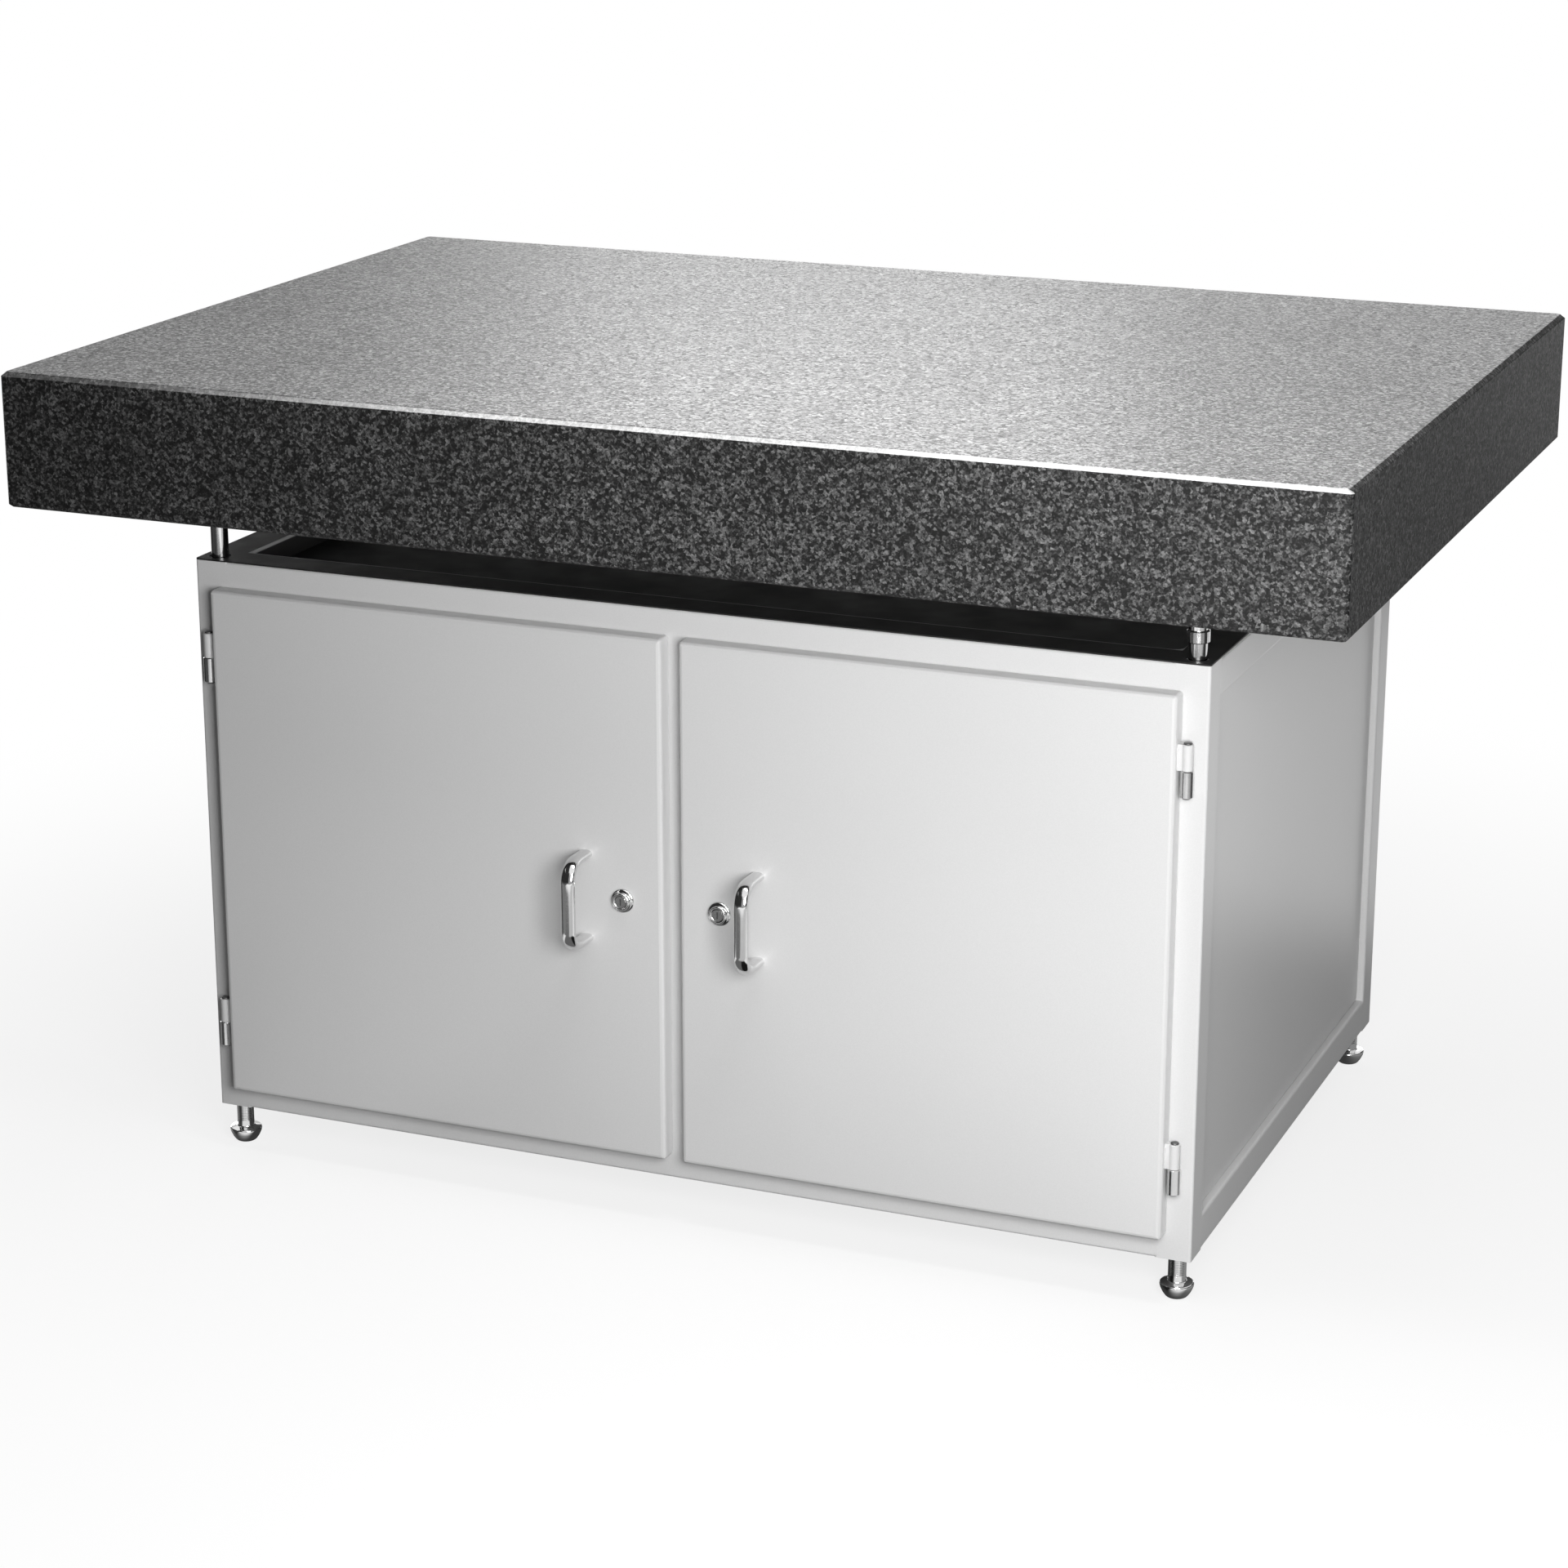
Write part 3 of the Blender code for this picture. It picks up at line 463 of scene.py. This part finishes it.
def knuckle(mesh, radius, reach, turn, low, high, matrix):
    """Adds half a hinge barrel with its tab and its bore, the ends broken by a small chamfer."""
    half, bore, cut = HINGE_TAB, 0.0031, 0.0005
    corner, shoulder = math.atan2(half, reach), math.asin(half / radius)
    marks = [-shoulder, -corner, 0, corner, shoulder]
    arc = math.tau - 2 * shoulder
    marks += [shoulder + arc * step / 44 for step in range(1, 44)]

    def outline(inset):
        def radius_at(angle):
            away = abs((angle + math.pi) % math.tau - math.pi)
            if away > shoulder + 1e-6:
                return radius - inset
            if away > corner + 1e-6:
                return max(half / math.sin(away), radius) - inset
            return reach / math.cos(away)
        return radius_at

    levels = [(outline(cut), low), (outline(0), low + cut), (outline(0), high - cut), (outline(cut), high),
              (circle(bore), high), (circle(bore), low)]
    hoop(mesh, [polar_ring(radius_at, height, marks, turn) for radius_at, height in levels], matrix)


def bead(mesh, start, end, first, second):
    """Adds a weld bead with small ripples in the corner between two faces, given by the ways out of them."""
    start, end, first, second = Vector(start), Vector(end), Vector(first), Vector(second)
    count = 28
    rings = []
    for step in range(count + 1):
        t = step / count
        swell = BEAD * (0.90 + 0.10 * math.cos(t * 9 * math.tau)) * min(1.0, 0.35 + 6 * min(t, 1 - t))
        middle = start.lerp(end, t)
        points = [middle - (first + second) * 0.0004]
        for part in range(7):
            angle = part / 6 * math.pi / 2
            points.append(middle + (first * math.cos(angle) + second * math.sin(angle)) * swell)
        rings.append([tuple(point) for point in points])
    stack(mesh, rings)


# --- Pieces ----------------------------------------------------------------------------------


def add_frame_welds():
    """Welded joints of the frame, ground flush: each fills the groove at the end of a tube."""
    mesh = bmesh.new()
    proud = 0.00003
    outline = rounded_square(TUBE + 2 * proud, TUBE_ROUND)

    def weld(place, direction):
        turn = Vector((0, 0, 1)).rotation_difference(Vector(direction)).to_matrix().to_4x4()
        rings = [[(x, y, height) for x, y in outline] for height in (-0.0015, 0.0036)]
        stack(mesh, rings, Matrix.Translation(place) @ turn)

    inner_x, inner_y = FRAME_X - TUBE, FRAME_Y - TUBE
    for height in (FRAME_LOW + TUBE / 2, FRAME_HIGH - TUBE / 2):
        for _, sign_x in SIDES:
            for _, sign_y in ENDS:
                weld((sign_x * inner_x, sign_y * POST_Y, height), (sign_x, 0, 0))
                weld((sign_x * POST_X, sign_y * inner_y, height), (0, sign_y, 0))
    weld((0, -POST_Y, FRAME_LOW + TUBE), (0, 0, -1))
    weld((0, -POST_Y, FRAME_HIGH - TUBE), (0, 0, 1))
    add_piece("frame_welds", mesh, ENAMEL, "cabinet")


def posts():
    """The name of each corner post and its place on the floor."""
    for end, sign_y in ENDS:
        for side, sign_x in SIDES:
            yield f"{end}_{side}", Matrix.Translation((sign_x * POST_X, sign_y * POST_Y, 0))


def add_feet():
    """Levelling feet: a polished mushroom pad on a threaded stem."""
    pad = [(0.0075, 0.0), (0.0115, 0.0012), (0.0150, 0.0058), (0.0178, 0.0118), (0.0185, 0.0150),
           (0.0180, 0.0172), (0.0125, 0.0184), (ROD, 0.0190), (ROD, 0.0260)]
    for name, place in posts():
        mesh = bmesh.new()
        lathe(mesh, rounded_profile(pad, 0.0025), place)
        thread(mesh, 0.0255, 0.0900, place)
        lathe(mesh, [(ROD, 0.0895), (ROD, 0.1035), (ROD_TIP, 0.1050)], place)
        add_piece(f"foot_{name}_detail", mesh, CHROME, f"foot_{name}", [f"foot_{name}"])


def add_jacks():
    """Jack screws: a thread in the post, and above it a smooth shank with a round head under the plate."""
    head = [(ROD, 0.7005), (ROD, JACK_HEAD_LOW), (0.0141, JACK_HEAD_LOW), (0.0160, 0.7604), (0.0160, 0.7680),
            (0.0150, 0.7697)]
    for name, place in posts():
        mesh = bmesh.new()
        lathe(mesh, [(ROD_TIP, 0.6450), (ROD, 0.6465), (ROD, 0.6655)], place)
        thread(mesh, 0.6650, 0.7010, place)
        lathe(mesh, rounded_profile(head, 0.0006), place)
        add_piece(f"jack_screw_{name}_detail", mesh, CHROME_JACK, f"jack_{name}",
                  [f"jack_screw_{name}"])


def add_handles():
    """Polished bow handles: an oval bar, a little flat on the front, with a screw behind each foot."""
    half, reach, bend = 0.048, 0.045, 0.021
    half_width, half_depth, squareness = 0.0080, 0.0050, 0.86
    stations = [(half, 0, 0), (half, 0.006, 0)]
    for step in range(25):
        turn = step / 24 * math.pi / 2
        stations.append((half - bend + bend * math.cos(turn), reach - bend + bend * math.sin(turn), turn))
    stations += [(half - bend - 0.010, reach, math.pi / 2), (half - bend - 0.020, reach, math.pi / 2)]
    stations += [(-along, height, math.pi - turn) for along, height, turn in reversed(stations)]
    for side, sign in SIDES:
        place = Matrix.Translation((sign * HANDLE_X, DOOR_FACE_Y, MIDDLE)) @ TO_FRONT
        mesh = bmesh.new()
        rings = []
        for along, height, turn in stations:
            section = []
            for angle in angles(56):
                across, out = math.cos(angle), math.sin(angle)
                across = half_width * math.copysign(abs(across) ** squareness, across)
                out = half_depth * math.copysign(abs(out) ** squareness, out)
                section.append((across, along + out * math.cos(turn), height + out * math.sin(turn)))
            rings.append(section)
        stack(mesh, rings, place)
        add_piece(f"handle_{side}_detail", mesh, CHROME, f"door_{side}",
                  [f"handle_{side}"])

        mesh = bmesh.new()
        for end in (-1, 1):
            inside = Matrix.Translation((sign * HANDLE_X, DOOR_FACE_Y + DOOR_SHEET, MIDDLE + end * half))
            screw(mesh, inside @ TO_BACK)
        add_piece(f"handle_{side}_screws", mesh, ZINC, f"door_{side}")


def add_locks():
    """Cam locks: a stepped polished ring, the key way as a dark slab of painted shade, and the nut that holds
    the cam on.
    """
    bore = 0.0067
    housing = [
        (bore, -0.0284), (0.0095, -0.0284), (0.0095, 0.0), (0.0133, 0.0), (0.0135, 0.0003), (0.0135, 0.0010),
        (0.0133, 0.0018), (0.0126, 0.0025), (0.0116, 0.0029), (0.0104, 0.0030), (0.0100, 0.0033),
        (0.0100, 0.0055), (0.0097, 0.0064), (0.0091, 0.0069), (0.0083, 0.0070), (0.0073, 0.0068),
        (bore, 0.0063),
    ]
    key_way_shade = [(x * 0.22, y) for x, y in rounded_square(0.0078, 0.0012)]
    flats, chamfer = hexagon(0.0060), circle(0.0060)
    nut = [(chamfer, -0.0001), (flats, 0.0004), (flats, 0.0018), (chamfer, 0.0023), (circle(0.0040), 0.0023)]
    for side, sign in SIDES:
        place = Matrix.Translation((sign * LOCK_X, DOOR_FACE_Y, MIDDLE)) @ TO_FRONT
        mesh = bmesh.new()
        revolve(mesh, housing, place)
        add_piece(f"lock_{side}_housing_detail", mesh, CHROME, f"door_{side}",
                  [f"lock_{side}_housing"])

        mesh = bmesh.new()
        # Painted shade: a dark slab in place of the shadowed slot of the key way
        stack(mesh, [[(x, y, height) for x, y in key_way_shade] for height in (0.0039, 0.0064)], place)
        add_piece(f"lock_{side}_key_way_shade", mesh, DARK_STEEL_AND_SHADE, f"lock_{side}")

        mesh = bmesh.new()
        behind_cam = Matrix.Translation((sign * LOCK_X, CAM_BACK_Y, MIDDLE)) @ TO_BACK
        stack(mesh, [polar_ring(radius_at, height, angles(60)) for radius_at, height in nut], behind_cam)
        add_piece(f"lock_{side}_cam_nut", mesh, ZINC, f"lock_{side}")


def add_hinges():
    """Lift-off hinges: plated lower half on the frame, painted upper half on the door, domed dark pin."""
    dome = [(0.0030, 0.0279), (0.0043, 0.0281), (0.0045, 0.0284), (0.0045, 0.0291), (0.0041, 0.0297),
            (0.0032, 0.0300), (0.0012, 0.0301)]
    pin = [(radius, -rise) for radius, rise in reversed(dome)] + dome
    for side, sign in SIDES:
        door_turn = math.pi if sign > 0 else 0
        for level, height in HINGE_LEVELS:
            name = f"hinge_{side}_{level}"
            axis_x = sign * HINGE_X
            place = Matrix.Translation((axis_x, HINGE_Y, height))
            mesh = bmesh.new()
            knuckle(mesh, 0.0070, 0.0099, math.pi / 2, -0.028, -0.0001, place)
            add_piece(f"{name}_frame_detail", mesh, ZINC, "cabinet",
                      [f"{name}_frame_knuckle"])
            mesh = bmesh.new()
            knuckle(mesh, 0.0060, 0.0094, door_turn, 0.0001, 0.028, place)
            add_piece(f"{name}_door_detail", mesh, ENAMEL, f"door_{side}",
                      [f"{name}_door_knuckle"])

            mesh = bmesh.new()
            lathe(mesh, pin, place, 40)
            add_piece(f"{name}_pin_detail", mesh, DARK_STEEL_AND_SHADE, "cabinet", [f"{name}_pin"])

            mesh = bmesh.new()
            for edge in (-1, 1):
                x = axis_x + edge * HINGE_TAB
                bead(mesh, (x, -FRAME_Y, height - 0.026), (x, -FRAME_Y, height - 0.003),
                     (edge, 0, 0), (0, -1, 0))
            add_piece(f"{name}_frame_weld", mesh, ENAMEL, "cabinet")
            mesh = bmesh.new()
            door_edge = axis_x - sign * 0.0095
            for edge in (-1, 1):
                y = HINGE_Y + edge * HINGE_TAB
                bead(mesh, (door_edge, y, height + 0.003), (door_edge, y, height + 0.026),
                     (sign, 0, 0), (0, edge, 0))
            add_piece(f"{name}_door_weld", mesh, ENAMEL, f"door_{side}")


# --- Stage -----------------------------------------------------------------------------------


def stage_material(name):
    material = bpy.data.materials.new(name)
    material.use_nodes = True
    tree = material.node_tree
    tree.nodes.clear()
    return material, tree


def mirrored_rays(tree, path):
    """1 for rays that come from glossy or clear surfaces."""
    node = tree.nodes.new("ShaderNodeMath")
    node.operation = "MAXIMUM"
    tree.links.new(path.outputs["Is Glossy Ray"], node.inputs[0])
    tree.links.new(path.outputs["Is Transmission Ray"], node.inputs[1])
    return node.outputs[0]


def add_floor():
    """A white floor that keeps a soft shadow near the object and fades into the white world.

    In reflections it has light and dark fields, which give the bright metal its bands: painted light, and
    dark fields next to the cabinet that are a painted shadow of the object. The strip next to the cabinet
    shows in the feet, the lower hinges and the handles' lower bends, and strips further out show in what sits
    higher.
    """
    material, tree = stage_material("floor_white")
    new, link = tree.nodes.new, tree.links.new

    def node(kind, **values):
        made = new(kind)
        for name, value in values.items():
            made.inputs[name.replace("_", " ")].default_value = value
        return made

    def ease(value, low, high, to_low, to_high):
        made = node("ShaderNodeMapRange", From_Min=low, From_Max=high, To_Min=to_low, To_Max=to_high)
        made.interpolation_type = "SMOOTHSTEP"
        link(value, made.inputs["Value"])
        return made.outputs["Result"]

    def calc(operation, first, second=0.0):
        made = new("ShaderNodeMath")
        made.operation = operation
        for socket, value in zip(made.inputs, (first, second)):
            if isinstance(value, (int, float)):
                socket.default_value = value
            else:
                link(value, socket)
        return made.outputs[0]

    def steps(value, first, *changes):
        """The first level, and each change is (where, over what width, to which level)."""
        total, level = first, first
        for where, width, after in changes:
            part = ease(value, where - width / 2, where + width / 2, 0.0, after - level)
            total = calc("ADD", total, part)
            level = after
        return total

    def choose(factor, first, second):
        made = new("ShaderNodeMixShader")
        link(factor, made.inputs["Fac"])
        link(first, made.inputs[1])
        link(second, made.inputs[2])
        return made.outputs[0]

    place = new("ShaderNodeTexCoord").outputs["Object"]
    length = new("ShaderNodeVectorMath")
    length.operation = "LENGTH"
    link(place, length.inputs[0])
    axes = new("ShaderNodeSeparateXYZ")
    link(place, axes.inputs[0])
    x, y = axes.outputs["X"], axes.outputs["Y"]
    path = new("ShaderNodeLightPath")

    # The strip next to the cabinet: each half is white to the right of a line that runs forward and left from
    # a foot, apart from a dark field below the handles
    to_foot = calc("SUBTRACT", x, calc("MULTIPLY", calc("SIGN", x), POST_X))
    past_line = calc("SUBTRACT", to_foot, calc("MULTIPLY", calc("ADD", y, POST_Y), 0.47))
    near = calc("MULTIPLY", ease(y, -0.395, -0.375, 0.90, 0.0), ease(past_line, -0.006, 0.03, 0.0, 1.0))
    fields = steps(x, 0.05, (-1.30, 0.10, 1.0), (-0.42, 0.08, 0.15), (0.30, 0.10, 1.0), (1.30, 0.10, 0.45),
                   (2.84, 0.10, 0.03))
    near = calc("MULTIPLY", near, fields)

    # Strips further out, by where they begin: they show in handles and locks, upper hinges, and jack screws
    strips = (
        (-0.92, steps(x, 0.05, (-2.20, 0.10, 0.16), (-0.20, 0.08, 0.58), (2.84, 0.10, 0.03))),
        (-1.62, steps(x, 0.05, (-0.70, 0.06, 1.10), (1.55, 0.10, 0.60), (2.84, 0.10, 0.03))),
        (-2.50, steps(x, 0.03, (-0.60, 0.10, 0.28), (2.84, 0.10, 0.03))),
    )
    soft = 0.07
    front = calc("MULTIPLY", near, ease(y, -1.0, -0.85, 0.0, 1.0))
    for index, (begin, level) in enumerate(strips):
        shown = ease(y, begin - soft, begin + soft, 1.0, 0.0)
        if index + 1 < len(strips):
            end = strips[index + 1][0]
            shown = calc("MULTIPLY", shown, ease(y, end - soft, end + soft, 0.0, 1.0))
        front = calc("ADD", front, calc("MULTIPLY", level, shown))

    # Dark fields of painted shadow beside the cabinet, weaker in front of it, and a pale one behind it
    beside = calc("MULTIPLY", steps(calc("ABSOLUTE", x), 0.05, (0.59, 0.06, 0.30), (1.40, 0.40, 0.03)),
                  ease(y, -0.395, -0.375, 0.2, 1.0))
    behind = ease(y, 0.60, 1.05, 0.0, 0.80)
    mirrored = new("ShaderNodeEmission")
    link(calc("ADD", calc("ADD", front, beside), behind), mirrored.inputs["Strength"])

    bounce = node("ShaderNodeBsdfDiffuse", Color=(0.26, 0.26, 0.26, 1)).outputs[0]
    lit = node("ShaderNodeBsdfDiffuse", Color=(0.88, 0.88, 0.88, 1)).outputs[0]
    white = node("ShaderNodeEmission", Color=(1, 1, 1, 1)).outputs[0]
    seen = choose(ease(length.outputs["Value"], 0.8, 2.0, 0.80, 1.0), lit, white)
    hidden = choose(mirrored_rays(tree, path), bounce, mirrored.outputs[0])
    final = choose(path.outputs["Is Camera Ray"], hidden, seen)
    link(final, new("ShaderNodeOutputMaterial").inputs["Surface"])

    mesh = bmesh.new()
    mesh.faces.new([mesh.verts.new(Vector(point)) for point in ring(14, 0, 96)])
    floor = mesh_object("floor", mesh, material)


def upright(line, height):
    """The lower and upper edge of cards that stand along a line on the floor."""
    return [(x, y, 0.001) for x, y in line], [(x, y, height) for x, y in line]


# Cards that only reflections show, as a studio uses to edge bright metal: name, two edges, grey
FLAGS = (
    ("flag_front", *upright([(-0.4, -4.8), (3.6, -4.8)], 3.2), 0.45),
    ("flag_left", *upright([(-0.4, -4.8), (-4.2, -4.8), (-4.6, -2.2), (-3.4, -1.6), (-4.4, 1.4)], 4.2), 0.03),
    ("flag_back", *upright([(-4.4, 1.4), (-2.5, 4.6)], 2.4), 0.60),
    ("flag_right", *upright([(3.6, -3.4), (3.6, 2.6), (0.95, 2.6)], 2.2), 0.02),
    ("flag_over", [(-4.2, -4.8, 4.2), (-1.3, -4.8, 4.2)], [(-3.8, -1.0, 4.2), (-1.3, -1.0, 4.2)], 0.03),
)


def add_flag(name, low_edge, high_edge, grey):
    """A card between two edges, unseen by the camera and by diffuse light, and without a shadow."""
    material, tree = stage_material(name)
    glow = tree.nodes.new("ShaderNodeEmission")
    glow.inputs["Color"].default_value = (grey, grey, grey, 1)
    tree.links.new(glow.outputs[0], tree.nodes.new("ShaderNodeOutputMaterial").inputs["Surface"])
    mesh = bmesh.new()
    low = [mesh.verts.new(point) for point in low_edge]
    high = [mesh.verts.new(point) for point in high_edge]
    for index in range(len(low) - 1):
        mesh.faces.new((low[index], low[index + 1], high[index + 1], high[index]))
    flag = mesh_object(name, mesh, material)
    flag.visible_camera = False
    flag.visible_diffuse = False
    flag.visible_shadow = False
    flag.visible_transmission = False


def add_world():
    """A faint even light, which the camera and reflections see as white."""
    world = bpy.data.worlds.new("studio")
    bpy.context.scene.world = world
    world.use_nodes = True
    tree = world.node_tree
    tree.nodes.clear()
    path = tree.nodes.new("ShaderNodeLightPath")
    shown = tree.nodes.new("ShaderNodeMath")
    shown.operation = "MAXIMUM"
    tree.links.new(path.outputs["Is Camera Ray"], shown.inputs[0])
    tree.links.new(mirrored_rays(tree, path), shown.inputs[1])
    mix = tree.nodes.new("ShaderNodeMixShader")
    tree.links.new(shown.outputs[0], mix.inputs["Fac"])
    for socket, strength in ((1, 0.07), (2, 1.0)):
        background = tree.nodes.new("ShaderNodeBackground")
        background.inputs["Color"].default_value = (1, 1, 1, 1)
        background.inputs["Strength"].default_value = strength
        tree.links.new(background.outputs[0], mix.inputs[socket])
    tree.links.new(mix.outputs[0], tree.nodes.new("ShaderNodeOutputWorld").inputs["Surface"])


# Name, place, target, width, height and watts
LAMPS = (
    ("key", (1.15, -1.92, 1.0), (0.2, -0.3, 0.47), 1.0, 1.0, 40),
    ("top", (0.2, 0.0, 3.6), (0.1, 0, 0.9), 2.2, 1.8, 36),
    ("edge", (0.3, -0.74, 1.85), (0.35, -0.45, 0.92), 0.9, 0.2, 9),
    ("rim", (-1.3, 3.3, 2.3), (0, 0, 0.9), 1.2, 0.9, 17),
    ("rim_wide", (-0.9, 3.5, 1.8), (0, 0, 0.9), 2.8, 1.0, 8),
    ("kicker", (-2.6, 1.9, 0.45), (-0.3, 0.1, 0.4), 1.6, 0.8, 38),
    ("back", (0.7, 3.2, 0.5), (0.2, 0.4, 0.4), 1.8, 0.7, 16),
)


def add_lamp(name, place, target, width, height, power):
    lamp = bpy.data.lights.new(name, "AREA")
    lamp.shape = "RECTANGLE"
    lamp.size = width
    lamp.size_y = height
    lamp.energy = power
    piece = bpy.data.objects.new(name, lamp)
    piece.location = place
    piece.rotation_euler = (Vector(target) - Vector(place)).to_track_quat("-Z", "Y").to_euler()
    piece.visible_camera = False
    bpy.context.scene.collection.objects.link(piece)


def add_camera():
    """The camera, as fitted to the corners of the plate and the cabinet."""
    data = bpy.data.cameras.new("camera")
    data.sensor_width = 36
    data.lens = 87.03
    camera = bpy.data.objects.new("camera", data)
    camera.location = (1.5816, -3.9257, 1.7171)
    camera.rotation_euler = (1.2684, 0, 0.3908)
    bpy.context.scene.collection.objects.link(camera)
    bpy.context.scene.camera = camera


def main():
    bpy.context.scene.view_settings.view_transform = "Standard"
    finish_nodes()
    add_frame_welds()
    add_feet()
    add_jacks()
    add_handles()
    add_locks()
    add_hinges()
    add_floor()
    for flag in FLAGS:
        add_flag(*flag)
    add_world()
    for lamp in LAMPS:
        add_lamp(*lamp)
    add_camera()


main()
